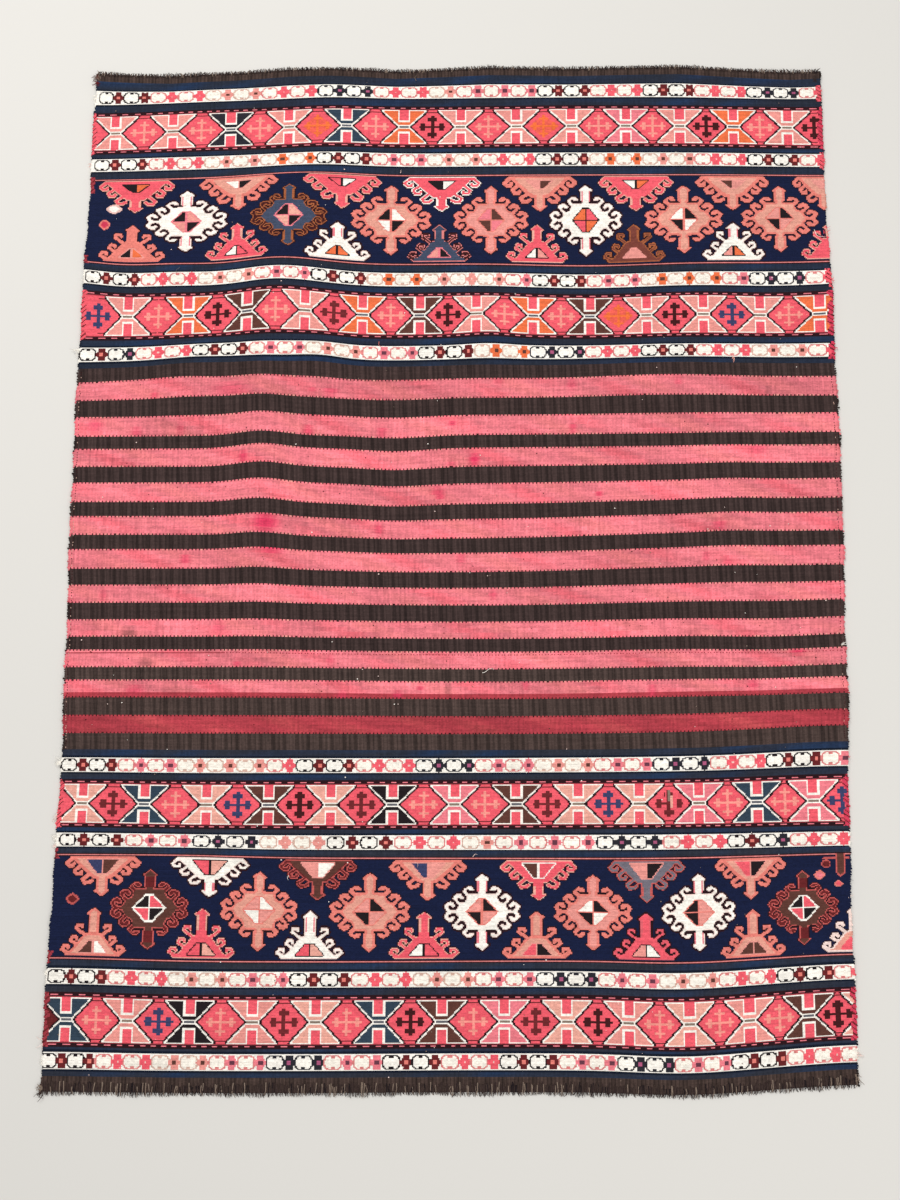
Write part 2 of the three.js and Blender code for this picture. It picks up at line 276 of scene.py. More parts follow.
# Per strip: its edges, five places along it and its letters.
STRIPS = [
    (659.7, 680.7, (-506, -247, 13, 262, 504), "DDPPSSPPNNPPSBBBDDPPDDPPNNP"),
    (555.2, 575.2, (-506, -246, 11, 260, 502), "DDPPSSOODDBBSSPPDDOOSSPPDDP"),
    (377.5, 397, (-510, -249.5, 6, 255, 503), "DDPPSSBBDDOOSTSBDDBBOOOBNNP"),
    (270.8, 290.8, (-511, -254, 1.5, 253.5, 503), "DNPPDDBBSSBBDDOONNPPDDPPSSP"),
    (-296, -276.5, (-511, -253, 5, 261, 502), "DDBBSSSPDDPPNNBBSSBBNNPPDDB"),
    (-396.3, -377.8, (-507, -250, 5, 259.5, 498), "DDBBNNTTDDPPSBBBNNPPDNPP"),
    (-571, -551.5, (-510, -254.5, 5, 264.5, 509), "DDPPSSBBDDPPSSBBNNBBSSPPDDP"),
    (-674, -653.5, (-516, -260, 2.5, 266, 515), "DDPPSSBBNNBBDDPPDDBBNNBBDDPPP"),
]
print(len(STRIPS), "pale strips with", sum(len(s[3]) for s in STRIPS), "beads")

# %% [markdown]
# Pink bands of hourglasses
# Hourglass figures outlined in ivory stand side by side, and the hexagons left between them hold a
# cross with a small bar near each end. The figures crowd together towards the right, so their places
# follow a curve through five known ones.

# %% Hourglasses and crosses
FILLS = {
    "s": "salmon", "t": "tan", "k": "black", "n": "slate", "m": "steel", "o": "orange", "u": "umber",
    "p": "pink", "b": "blue", "r": "rose", "i": "ivory",
}
# The crosses' letters, where f is a frayed one.
CROSSES = {"s": "peach", "o": "flame", "k": "wine", "u": "garnet", "n": "blue", "b": "blue", "f": "garnet"}
# Half the width of an hourglass at its waist. Beside each pink band: width of the red line, width of
# the dark line with dashes, and the step from one dash to the next.
WAIST = 7.8
RED_EDGE = 1.3
DASHED = 6.4
DASH_STEP = 15.2


def hourglass(c, place, middle, half, yarn):
    """An hourglass figure with a pink notch at each end."""
    area, x, y = around(c, place, middle, 42, half)
    x, y = np.abs(x), np.abs(y)
    corner = [(31, half - 3.2), (33, half + 1)]
    edge = patch(x, y, [(-60, -20), (WAIST, -20), (WAIST, 0), *corner, (-60, half + 1)])
    slant = (x - WAIST) * 0.68 - y * 0.73
    dark = yarn in ("slate", "black", "umber", "steel", "orange")
    # First the hexagons' red lines and dark outlines, then the figure from its edge inwards.
    work(c, area, (np.abs(y - half + 2.9) < 0.72) & (edge > 1), "garnet", GROUND)
    work(c, area, (slant < 2.4) & (edge < 2.4), "soot", GROUND)
    work(c, area, edge < 0, "ivory", FIGURE)
    work(c, area, (edge < -1.9) & (y > 2.2) & (y < half - (1.4 if dark else 0)), yarn, FIGURE)
    work(c, area, (x < 8) & (y > 7.8), "ivory", FIGURE)
    work(c, area, (x < 6) & (y > 9.4), "rose", GROUND)
    work(c, area, (x < 7) & (y < 0.9), "grey" if dark else "ash", GROUND)


def fray(c, area, right, up):
    """Wears a cross down to the pink ground and to a few bare warps."""
    gone = (np.abs(right) > 2.8) & (np.abs(right) < 8) & (np.abs(up - 12) < 4) & (np.mod(right, 5) < 3.4)
    gone |= (right > 2.8) & (right < 9.4) & (np.abs(up) < 3)
    work(c, area, gone, "rose", GROUND)
    work(c, area, (np.abs(right + 0.6) < 1.8) & (up > 3) & (up < 17), "ash", GROUND)
    work(c, area, (np.abs(right - 3.4) < 0.9) & (up > -6) & (up < 10), "tan", GROUND)


def cross(c, place, middle, letter):
    """A cross with a small bar near each end, broad in dark yarn and thin in light yarn."""
    area, right, up = around(c, place, middle, 24, 22)
    x, y = np.abs(right), np.abs(up)
    broad = 1.7 if letter in "so" else 2.6
    upright = (x < broad) & (y < 17) | (x < 6.6) & (np.abs(y - 11.6) < broad)
    level = (y < min(broad, 1.6)) & (x < 19) | (y < 5.4) & (np.abs(x - 13.2) < 1.5 * broad - 0.3)
    if letter == "o":
        work(c, area, x / 27 + y / 21 < 0.82, "ember")
    work(c, area, upright | level, CROSSES[letter], FIGURE)
    if letter == "f":
        fray(c, area, right, up)


def dashes(c, level, out):
    """A red line, then a dark one with small pink dashes. Out is 1 above the band and -1 below it."""
    band(c, *sorted((level, level + out * DASHED)), "soot", 0.3)
    band(c, *sorted((level, level + out * RED_EDGE)), "brick", GROUND)
    area = window(c, *ACROSS, *sorted((level + out * 0.4 * DASHED, level + out * 0.6 * DASHED)))
    x = c["x"][area]
    off = np.abs(np.mod(x / DASH_STEP + 0.6 * np.sin(x / 53), 1) - 0.5)
    work(c, area, off < 0.24, "pink", GROUND)


print(len(CROSSES), "kinds of cross")

# %% Pink bands of hourglasses
def pink_band(c, low, high, known, figures, crosses):
    """One pink band. The first cross is the one left of the first figure: a dot is none, w a dark field."""
    middle, half = (low + high) / 2, (high - low) / 2
    band(c, low, high, "rose", GROUND, 1)
    dashes(c, low, out=-1)
    dashes(c, high, out=1)
    places = places_of(known, len(figures))
    if crosses[0] == "w":
        area = window(c, ACROSS[0], places[0], low + 2.4, high - 2.4)
        work(c, area, c["x"][area] < places[0], "maroon")
    for place, letter in zip(places, figures):
        hourglass(c, place, middle, half, FILLS[letter])
    gaps = (places[1:] + places[:-1]) / 2
    gaps = [2 * places[0] - gaps[0], *gaps, 2 * places[-1] - gaps[-1]]
    for place, letter in zip(gaps, crosses):
        if letter in CROSSES:
            cross(c, place, middle, letter)


# Per band: its edges, five places along it, the hourglasses and the crosses.
PINK_BANDS = [
    (589.5, 641, (-488, -238, 8, 244.5, 474.5), "ssnsmossspsos", ".sssosksossksk"),
    (307.5, 362, (-457, -208, 32, 270, 507), "sousousoussso", "bsksuskssokbs."),
    (-364, -312, (-489, -240, 6, 250, 479), "tmtutkputtpmp", ".usbkussubfssb"),
    (-641, -587, (-495, -233, 32, 292, 538), "mskstmuptstsut", "wsnsusksuksssk"),
]
print(len(PINK_BANDS), "pink bands with", sum(len(b[3]) for b in PINK_BANDS), "hourglasses")

# %% [markdown]
# Bands of hooked medallions
# The widest band of each panel is indigo, with whole medallions along its middle and half ones between
# them, hanging from one edge and standing on the other. Every slanting side has three latch hooks. On
# a whole medallion they are lobes with a dark curl worked into each, and on a half one they are bent
# strokes of one width. A whole medallion is drawn once for one quarter and a half one for one side, and
# both are mirrored.

# %% Outlines of the medallions
# Outlines are in millimetres from the figure's middle. The dark curls are cut out of a whole one.
# Per letter: filling, edge yarn and its width, filling of the hooks, width of a whole one's dark curls.
SCHEMES = {
    "i": ("ivory", "pale", 0.9, "ivory", 4.0), "s": ("sand", "coral", 3.0, "coral", 3.0),
    "p": ("salmon", "coral", 2.6, "coral", 3.0), "o": ("coral", "coral", 2.0, "coral", 3.0),
    "r": ("rose", "tan", 0.9, "rose", 2.8), "R": ("rose", "ivory", 1.0, "rose", 2.8),
    "e": ("teal", "amber", 1.5, "wine", 2.0), "E": ("teal", "dusty", 1.0, "wine", 1.9),
    "u": ("umber", "rust", 1.4, "maroon", 2.3), "g": ("storm", "rust", 1.2, "storm", 1.9),
    "b": ("russet", "amber", 1.5, "russet", 1.9), "d": ("rose", "berry", 0.6, "rose", 3.0),
    "l": ("sand", "pale", 2.2, "pale", 2.6),
}
WHOLE = [
    (-9, -9), (52.5, -9), (52.5, 0), (57, 6.5), (53.5, 10.5), (48, 13.2), (41, 12.6), (44, 16.5),
    (42.5, 20.8), (36.5, 24), (28.6, 23), (30, 25.8), (27.5, 29.5), (21, 33.5), (15.5, 33.3), (12, 29.5),
    (13, 26.4), (7.8, 26), (7.8, 41), (10.2, 42.2), (10, 43.6), (0, 50.4), (-9, 43.6),
]
WHOLE_BODY = [(-9, -9), (43, -9), (43, 0), (20, 25.5), (7.8, 25.5), (7.8, 52), (-9, 52)]
WHOLE_CURLS = [
    [(43, 14.5), (37.2, 8), (40, 4.2), (44.5, 3.6), (48.4, 6)],
    [(31, 25.2), (24.6, 19), (27, 14.8), (31, 13.6), (35, 16.2)],
    [(7, 25.8), (19, 25.6), (21.6, 27.6)],
]
HANGING = [(-9, 0), (43, 0), (47.6, 5), (38, 5.5), (34, 9.5), (22, 21.5), (12, 29.5), (-9, 29.5)]
HANGING_HOOKS = [
    [(41, 3), (48.6, 9), (45, 13), (39.6, 12.6), (38.8, 10)],
    [(28, 12), (37.4, 19), (34.4, 23.8), (28.6, 23.6), (27.6, 21)],
    [(15, 23), (26, 31), (23, 35.6), (17, 35.4), (13, 32.8)],
]
STANDING = [(-9, 0), (37.5, 0), (43.4, 6), (33, 5.5), (30, 7), (14, 25.5), (8, 29), (-9, 29)]
STANDING_HOOKS = [
    [(33, 3), (43.4, 7.4), (40, 12), (34.6, 11.8), (34.4, 9.4)],
    [(21, 12.5), (31.4, 19), (29, 23.4), (23.6, 23.2), (23, 20.6)],
    [(9, 24), (23.8, 33.8), (22.8, 37.8), (16.6, 37.8), (15.6, 35.4)],
]
STEM = 7.2
HALF_BODY = [(-9, 0), (40, 0), (32, 10), (15, 25.5), (STEM, 30), (STEM, 60), (-9, 60)]
# Half the width that a whole one is drawn with. Then per way of a half one, which hangs or stands: half
# its width, the width of its hooks, its outline and its hooks.
WHOLE_REACH = 57
HALVES = {-1: (51, 5.0, HANGING, HANGING_HOOKS), 1: (46, 4.4, STANDING, STANDING_HOOKS)}
# Two schemes have thinner hooks.
THIN_HOOKS = {"i": 3.7, "d": 3.2}
print(len(SCHEMES), "schemes of yarns")

# %% Whole and half medallions
def stem(x, y, wide, tip):
    """Distance to a stem with a pointed head, which starts inside the body."""
    root, chin = tip - 34, tip - 7
    side = [(wide, root), (wide, tip - 9.6), (wide + 2.8, tip - 8.4), (wide + 2.6, chin)]
    return patch(x, y, [(-9, root), *side, (0, tip), (-9, chin)])


def figure(c, area, shape, body, scheme):
    """Works a shape with its hooks: a dark outline, an edge yarn, and the fillings."""
    filling, edge, width, hook, _ = SCHEMES[scheme]
    work(c, area, shape < (2.4 if scheme in "id" else 1.2), "soot", GROUND)
    work(c, area, shape < 0, edge, FIGURE)
    work(c, area, shape < -width, hook, FIGURE)
    work(c, area, np.maximum(shape, body) < -width, filling, FIGURE)


def cut_curls(x, y, shape, curls, scheme):
    """A shape without the dark curls between its hooks."""
    return np.maximum(shape, -np.min([line(x, y, bend, SCHEMES[scheme][4]) for bend in curls], axis=0))


def whole_medallion(c, middle, reach, tall, place, half, scheme, quarters, cross_yarn):
    """A whole medallion, with an inner figure in four quarters from left to right, top to bottom."""
    area, right, up = around(c, place, middle, 64, 54)
    right, up = right / half * WHOLE_REACH, up / tall
    x, y = np.abs(right), np.abs(up)
    shape = cut_curls(x, y, patch(x, y, WHOLE), WHOLE_CURLS, scheme)
    figure(c, area, shape, patch(x, y, WHOLE_BODY), scheme)
    # The stripes of the stem, then the quarters of the inner figure, its outline and its cross.
    stripe = "pink" if scheme == "i" else SCHEMES[scheme][1]
    work(c, area, (np.abs(x - 5.8) < 1.2) & (y > 26) & (y < 41), stripe)
    if scheme == "u":
        work(c, area, (x < 6) & (y > 27) & (y < 41), "maroon")
    inner = patch(x, y, [(-9, -9), (reach + 8, -9), (reach, 0), (5.5, 17.5), (-9, 17.5)])
    for index, letter in enumerate(quarters):
        across = right > 0 if index % 2 else right <= 0
        along = up <= 0 if index > 1 else up > 0
        work(c, area, across & along & (inner < 0), FILLS[letter])
    wide = 2.2 if cross_yarn == "ivory" else 1.5
    work(c, area, (inner < 0) & (inner > -wide), cross_yarn)
    work(c, area, (inner < 0) & ((x < 1.2) | (y < wide / 2)), cross_yarn)


def half_medallion(c, base, way, tall, tip, inside, place, half, scheme, left, right, outline):
    """A half medallion on a band's edge. Way is 1 where it stands, and -1 where it hangs."""
    area = window(c, place - 62, place + 62, *sorted((base, base + 66 * way)))
    reach, hook_width, outer, hooks = HALVES[way]
    signed_x, along = (c["x"][area] - place) / half * reach, (c["y"][area] - base) * way
    x, y = np.abs(signed_x), along / tall
    strokes = [line(x, y, hook, THIN_HOOKS.get(scheme, hook_width)) for hook in hooks]
    shape = np.min([patch(x, y, outer), *strokes, stem(x, along, STEM, tip)], axis=0)
    figure(c, area, shape, patch(x, y, HALF_BODY), scheme)
    stripe = "pink" if scheme == "i" else SCHEMES[scheme][1]
    work(c, area, (np.abs(x - 5.4) < 1.1) & (along > 33) & (along < tip - 8.6), stripe)
    wide, narrow, low, high = inside
    inner = patch(x, along, [(-9, low), (wide, low), (narrow, high), (-9, high)])
    work(c, area, inner < 1.4, FILLS[outline])
    work(c, area, (inner < 0) & (signed_x <= 0), FILLS[left])
    work(c, area, (inner < 0) & (signed_x > 0), FILLS[right])
    work(c, area, (inner < 0) & (x < 1.2), FILLS[outline])


print("Half widths of the outlines:", WHOLE_REACH, *[half[0] for half in HALVES.values()])

# %% Bands of hooked medallions
def medallion_band(c, low, high, middle, reach, wholes, hang, hanging, stand, standing):
    """One indigo band with its red edge lines and all its medallions."""
    band(c, low, high, "navy", GROUND, 1)
    for level in (low - 0.6, high + 0.6):
        band(c, level - 1.9, level + 1.9, "soot", 0.4)
        band(c, level - 0.9, level + 0.9, "dusty", GROUND)
    for whole in wholes:
        whole_medallion(c, middle, reach, *whole)
    for place, half, letters in hanging:
        half_medallion(c, high - 2, -1, *hang, place, half, *letters)
    for place, half, letters in standing:
        half_medallion(c, low + 3.4, 1, *stand, place, half, *letters)


# Per band: its edges, the middle of the whole medallions and the reach of their inner figures. Then the
# whole ones: how tall, place, half width, letter, letters of the quarters, cross yarn. Then, for those
# that hang and those that stand: how tall, length of the stem and shape of the inner figure, and each
# one's place, half width and letters.
MEDALLION_BANDS = [
    (
        410, 541, 474.5, 22, [
            (0.93, -380, 58, "i", "kssk", "pink"), (0.92, -235, 54.5, "e", "kttk", "pink"),
            (1.02, -89.5, 57, "s", "kiik", "coral"), (1, 51.7, 53.3, "p", "puup", "coral"),
            (1.02, 186, 51.2, "i", "orro", "black"), (1, 324.7, 55.3, "s", "ikki", "coral"),
            (0.99, 459.7, 53.7, "s", "skks", "coral"),
        ],
        (1.06, 52, (17, 4, 6.5, 18)), [
            (-454, 56, "rkok"), (-307, 56, "siks"), (-160, 56, "rrik"), (-18, 55.5, "Rkik"),
            (121, 53, "ssus"), (257.5, 53.5, "riok"), (394.5, 52, "suss"), (521, 42, "ssss"),
        ],
        (1.06, 54.5, (16, 3, 6.5, 19.5)), [
            (-456, 48, "okos"), (-307.5, 44.5, "rirk"), (-165, 47, "iook"), (-21, 45, "Eskp"),
            (117, 44.2, "risk"), (254, 44.2, "bsss"), (394, 44.2, "isok"), (527, 40, "rrrr"),
        ],
    ),
    (
        -538.5, -407.5, -476, 25, [
            (0.99, -393, 52, "u", "krrk", "ivory"), (0.99, -249, 51, "s", "siis", "coral"),
            (1, -104, 53, "s", "skks", "coral"), (0.98, 43, 50, "i", "skks", "coral"),
            (0.97, 188, 51, "p", "ikki", "coral"), (0.97, 326, 48, "i", "ksks", "coral"),
            (0.96, 462, 46, "u", "krrk", "ivory"),
        ],
        (0.97, 52.5, (21.5, 6, 4, 22.5)), [
            (-457, 51, "sbus"), (-315, 52, "irtk"), (-172.5, 51.5, "usis"), (-28, 51, "sbss"),
            (117, 50.5, "ruri"), (258.5, 50.5, "gsks"), (394.5, 46.5, "srks"),
        ],
        (0.98, 59.5, (18.5, 6, 4.5, 18)), [
            (-464.5, 43.5, "suis"), (-323, 44.5, "rrtk"), (-181.5, 45, "irtk"), (-32.5, 46.5, "rirk"),
            (114.5, 46, "srks"), (256.5, 43.5, "dsik"), (396, 42.5, "suus"), (527, 43.5, "lrrr"),
        ],
    ),
]
print(len(MEDALLION_BANDS), "bands of hooked medallions")

# %% [markdown]
# Stripes of the base
# The base is plain weave, in which the weft hides the warp. Pink stripes alternate with undyed brown,
# and where two yarns meet, every second warp shows a tooth of the other colour. The pink came from
# several dye lots, so no two stripes have quite the same tone.

# %% Stripes of the base
# Per stripe: middle, width and yarn.
STRIPES = [
    (229.4, 26, "stripe"), (177.6, 26, "stripe"), (133.5, 23.6, "stripe"), (85.2, 25.4, "stripe"),
    (39.2, 24, "stripe"), (-6.9, 25, "stripe"), (-54.8, 22.8, "stripe"), (-101.5, 21.8, "stripe"),
    (-142.7, 22, "stripe"), (-183.4, 22.2, "stripe"), (-231.3, 22.8, "madder"),
]
# How high the teeth and a row of the weave are, where a thin red line runs, and from where it is broken.
TOOTH = 1.9
PICK = 5.8
RED_LINE = -135.3
RED_LINE_BREAKS = -305
# The stripe whose near edge is redder, counted from the far end.
RED_EDGED = 9
# Levels on the cloth: the ends of the base, the inner edges of the hems, the ends of the whole, and
# where the base turns to a duller brown.
BASE = (-265.5, 262)
HEMS = (-682.5, 695.5)
ENDS = (-702, 708)
DUN_FROM = -153


def base_rows(low, high):
    """Rows of the base: low ones where two yarns meet or a thin line runs, and taller ones between."""
    thin = [(middle + side * width / 2, TOOTH) for middle, width, _ in STRIPES for side in (-1, 1)]
    places = [low]
    for level, tall in sorted([*thin, (RED_LINE, 1.4)]):
        start, end = places[-1], level - tall / 2
        count = max(1, round((end - start) / PICK))
        places += [*np.linspace(start, end, count + 1)[1:], level + tall / 2]
    return np.array([*places, *np.linspace(places[-1], high, 5)[1:]])


def base_stripes(c):
    """The cross stripes, with teeth along their edges."""
    for index, (middle, width, yarn) in enumerate(STRIPES):
        area = window(c, *ACROSS, middle - 20, middle + 20)
        x, y = c["x"][area], c["y"][area] - middle
        # Some warps carry a tooth, and the others end a little short.
        warp = np.floor(x / STITCH) + (np.sin(x / 17 + index + y) > 0.5)
        inside = np.abs(y) + 0.9 - 1.8 * (np.mod(warp, 3) < 1.5) < width / 2
        work(c, area, np.abs(y) < width / 2 + 1, "wine")
        # Slow and quick changes of tone along each row, and places with a warmer or a redder dye.
        pick = np.floor(y / PICK)
        slow = np.sin(x / 97 + 1.7 * index) + np.sin(x / 41 + 2.3 * index + 0.4 * pick)
        quick = np.sin(x / 9.7 + 5.1 * pick + index) * np.sin(x / 23 + 3.3 * pick)
        tone = 1 + 0.07 * slow + 0.11 * quick + chance.normal(0, 0.035, x.shape)
        tone = ((0.9 if index == 0 else 1) * tone)[..., None]
        other = np.sin(x / 53 + 1.9 * index) * np.sin(x / 19 + 0.7 * pick + index)
        warm, hot = np.clip(-0.3 * other, 0, 1)[..., None], np.clip(0.6 * other - 0.1, 0, 1)[..., None]
        ends = ("coral", "rose") if yarn == "stripe" else ("rust", "brick")
        dye = YARN[yarn] * (1 - warm - hot) + YARN[ends[0]] * warm + YARN[ends[1]] * hot
        c["dye"][area][inside] = (dye * tone)[inside]
        c["height"][area][inside] = 0.2
        # Tips of some teeth in a lighter pink, a painted highlight where the yarn loops catch the light,
        # then what only one or two stripes have.
        tip = inside & (np.abs(y) > width / 2 - 1) & (np.mod(np.sin(19.1 * x) * 500, 1) > 0.8)
        work(c, area, tip, "salmon" if yarn == "stripe" else yarn)
        if index == RED_EDGED:
            work(c, area, inside & (y < -3.6), "madder")
        on_line = np.abs(y + middle - RED_LINE) < 0.7
        work(c, area, on_line & ((x < RED_LINE_BREAKS) | (np.mod(x, 4.2) < 1.7)), "brick")


def ribs(c):
    """Lighter and darker warps that show through the undyed brown."""
    area = window(c, *ACROSS, *BASE)
    x, y = c["x"][area], c["y"][area]
    warp = np.floor(x / STITCH)
    dark = c["dye"][area][..., 0] < 0.1
    threads = 0.36 * np.sin(12.9 * warp + 2 * np.sin(y / 31 + warp))
    threads += 0.08 * np.sin(x / 7.3 + np.sin(y / 19))
    c["dye"][area] *= (1 + threads * dark)[..., None]


print(len(STRIPES), "stripes")

# %% Stains and redder places
def blot(c, x0, y0, wide, high, yarn, share):
    """A soft blot of another tone on the pink, such as a stain or a darker dye."""
    area, x, y = around(c, x0, y0, 2 * wide, 2 * high)
    x, y = x / wide, y / high
    on_pink = c["dye"][area][..., 0] > 0.3
    amount = (share * np.exp(-(x * x + y * y) ** 1.5) * on_pink)[..., None]
    c["dye"][area] = c["dye"][area] * (1 - amount) + YARN[yarn] * amount


# The largest redder places in the pink and the stains: where, how wide, how high and how strong.
RED_BLOTS = [
    (-170, 225, 11, 6, 0.6), (-310, 225, 26, 9, 0.4), (-495, 180, 11, 8, 0.6), (-200, 170, 8, 7, 0.7),
    (30, 130, 8, 8, 1), (420, 140, 15, 5, 0.6), (-20, 90, 10, 5, 0.7), (-255, 40, 19, 12, 1),
    (-100, 40, 6, 9, 0.6), (365, 35, 10, 7, 0.6), (-245, 5, 17, 5, 0.9), (-315, -100, 10, 7, 0.5),
    (465, -135, 11, 4, 0.9), (-425, -185, 13, 6, 0.6), (270, -185, 6, 9, 0.6), (405, -180, 8, 7, 0.6),
]
STAINS = [(-437, -107, 10, 6, 0.55), (-411, -148, 12, 6, 0.5), (-4, -181, 5, 8, 0.4), (436, 223, 4, 4, 0.5)]


def small_blots(count):
    """Small redder places, strewn over the pink stripes by chance."""
    blots = []
    for _ in range(count):
        middle, width, _ = STRIPES[chance.integers(len(STRIPES) - 1)]
        place = (chance.uniform(-510, 510), middle + width * chance.uniform(-0.4, 0.4))
        blots.append((*place, chance.uniform(5, 8), chance.uniform(4, 8), chance.uniform(0.4, 0.8)))
    return blots


RED_BLOTS += small_blots(count=26)
print(len(RED_BLOTS), "redder places and", len(STAINS), "stains")

# %% [markdown]
# The whole pattern on one chart
# The plain indigo guards come first, because everything else lies on or between them. The same
# function draws on a chart of any size, and what lies outside that chart is left out. Rows are low
# where a band has figures and taller on the plain guards, which saves faces.

# %% Guards, hems and small figures
# Small figures at the ends of the indigo bands: place, half width, half height, edge and filling.
FILLERS = [
    (-484.5, 492.5, 12.5, 8, "blush", "ivory"), (-497.5, 467.5, 9, 8, "coral", "red"),
    (-495.5, -465, 9.6, 7.5, "rust", "maroon"), (484, -434, 7.5, 6.5, "coral", "pink"),
    (508, -446, 6, 4.6, "coral", "rose"),
]
# Overcast ends along the selvedges: side, from, to, yarn.
OVERCAST = [
    (-1, 583, 648, "rose"), (-1, 520, 546, "brick"), (-1, 302, 368, "rose"), (-1, 408, 420, "brick"),
    (-1, -370, -306, "rose"), (-1, -648, -580, "brick"), (-1, -546, -530, "brick"),
    (-1, -412, -398, "brick"), (1, 655, 684, "rose"), (1, 552, 579, "rose"), (1, 374, 400, "rose"),
    (1, 267, 294, "red"), (1, 583, 648, "red"), (1, 302, 368, "red"), (1, -370, -306, "red"),
    (1, -648, -580, "red"),
]


def overcast(c, side, low, high, yarn):
    """Slanting stitches of one yarn over the last few warps."""
    area = window(c, *sorted((side * (HALF_WIDTH - 6.5), side * (HALF_WIDTH + 7))), low, high)
    x, y = np.abs(c["x"][area]), c["y"][area]
    depth = HALF_WIDTH - 5.5 + 2.2 * np.sin(y / 3.1) + 1.5 * np.sin(y / 11)
    work(c, area, x > depth, yarn, FIGURE)
    work(c, area, (x > depth) & (np.mod(y + 0.8 * x, 6.4) < 1.6), "maroon")


def filler(c, x0, y0, wide, high, edge, filling):
    """A small figure between an oval and a diamond."""
    area, x, y = around(c, x0, y0, wide + 2, high + 2)
    x, y = x / wide, y / high
    away = 0.6 * np.hypot(x, y) + 0.4 * (np.abs(x) + np.abs(y))
    work(c, area, away < 1, edge, FIGURE)
    work(c, area, away < 0.66, filling, FIGURE)


def cut_piece(c):
    """The part of a hanging figure that was left at the near right corner: a stem and one hook."""
    area = window(c, 480, 530, -450, -406)
    x, y = c["x"][area], c["y"][area]
    shape = patch(x, y, [(505, -404), (516.4, -404), (516.4, -432), (510.6, -437), (505, -432)])
    lobe = (np.hypot((x - 492.6) / 6, (y + 419.6) / 5.6) - 1) * 5.6
    hook = np.minimum(lobe, patch(x, y, [(488, -413), (522, -413), (522, -410), (490, -410)]))
    work(c, area, np.minimum(shape, hook) < 0, "rust", FIGURE)
    work(c, area, shape < -1.5, "umber")
    work(c, area, hook < -1.5, "maroon")


def uneven(c, low, high, yarn, other):
    """A plain band whose yarn was dyed unevenly, from one tone to another."""
    band(c, low, high, yarn)
    area = window(c, *ACROSS, low, high)
    x, y = c["x"][area], c["y"][area]
    share = 0.5 + 0.25 * np.sin(x / 71 + y / 9) + 0.25 * np.sin(x / 23 - y / 5 + 2 * np.sin(x / 57))
    c["dye"][area] += (share ** 2)[..., None] * (YARN[other] - YARN[yarn])


def hem(c, low, high):
    """A hem, in which the single warps show as lighter and darker threads."""
    band(c, low, high, "hem")
    area = window(c, *ACROSS, low, high)
    x = c["x"][area]
    threads = 0.3 * np.sin(x / 0.8 + 2 * np.sin(x / 17)) + 0.22 * np.sin(x / 3.1 + np.sin(x / 41))
    c["dye"][area] *= (1 + threads)[..., None]


print(len(FILLERS), "small figures and", len(OVERCAST), "overcast ends")

# %% The whole pattern on one chart
def draw_pattern(c):
    """Works every figure of the cloth that falls on the chart."""
    uneven(c, BASE[1], HEMS[1], "guard", "indigo")
    uneven(c, HEMS[0], BASE[0], "smoke", "indigo")
    hem(c, HEMS[1], ENDS[1])
    hem(c, ENDS[0], HEMS[0])
    band(c, BASE[0], DUN_FROM, "dun")
    base_stripes(c)
    ribs(c)
    for low, high, known, letters in STRIPS:
        band(c, low - 2.6, high + 2.6, "ink", 0.2)
        bead_strip(c, low, high, known, letters)
    for pink in PINK_BANDS:
        pink_band(c, *pink)
    for medallions in MEDALLION_BANDS:
        medallion_band(c, *medallions)
    for small in FILLERS:
        filler(c, *small)
    cut_piece(c)
    for ends in OVERCAST:
        overcast(c, *ends)
    for *spot, share in RED_BLOTS:
        blot(c, *spot, "cerise", share)
    for *spot, share in STAINS:
        blot(c, *spot, "dun", share)


# From where to where each sheet reaches.
SHEETS = {
    "far_border": (546, ENDS[1]), "far_medallions": (402, 546), "far_inner_border": (BASE[1], 402),
    "striped_base": BASE, "near_inner_border": (-400, BASE[0]), "near_medallions": (-545, -400),
    "near_border": (ENDS[0], -545),
}
PLAIN_ROW = 2.6


def fine_bands():
    """The bands with figures and the height of their rows. A hem's edge counts as a band of no height."""
    bands = [(edge, edge, 1) for edge in HEMS]
    bands += [(low, high, 1.25) for low, high, *_ in STRIPS]
    bands += [(low - 2.5, high + 2.5, 1.4) for low, high, *_ in MEDALLION_BANDS]
    for low, high, *_ in PINK_BANDS:
        bands += [(low - DASHED, low, 1.3), (low, high, 1.43), (high, high + DASHED, 1.3)]
    return sorted(bands)


def panel_rows(low, high):
    """Rows of a sheet of the panels: low ones in the bands with figures, and taller ones between."""
    places = [low]
    for start, end, step in [*fine_bands(), (high, high, 1)]:
        if low < start <= high:
            if start > places[-1]:
                plain = max(2, round((start - places[-1]) / PLAIN_ROW))
                places += [*np.linspace(places[-1], start, plain + 1)[1:]]
            places += [*np.linspace(start, end, round((end - start) / step) + 1)[1:]]
    return np.array(places)


charts = {}
for name, reach in SHEETS.items():
    c = chart(base_rows(*reach) if name == "striped_base" else panel_rows(*reach))
    draw_pattern(c)
    charts[name] = c
    print(name, c["x"].shape[1], "by", c["x"].shape[0], "stitches")

# %% [markdown]
# From chart to cloth
# Each chart becomes a sheet: a grid with one face a stitch, whose points are moved to where the cloth
# lies. The outermost points turn down to the ground, as the weft turns round the last warp. The sheets
# meet on the plain guards, where both have the same height, so that no seam shows.

# %% From chart to cloth
# How thick plain weave is, and how far its underside lies off the ground.
THICKNESS = 2.2
OFF_GROUND = 0.15


def add_mesh(name, bm):
    """A finished piece of the object from a bmesh."""
    mesh = bpy.data.meshes.new(name)
    bm.to_mesh(mesh)
    bm.free()
    piece = bpy.data.objects.new(name, mesh)
    bpy.context.scene.collection.objects.link(piece)
    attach(piece, "root")
    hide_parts("woven_cloth")
    return piece


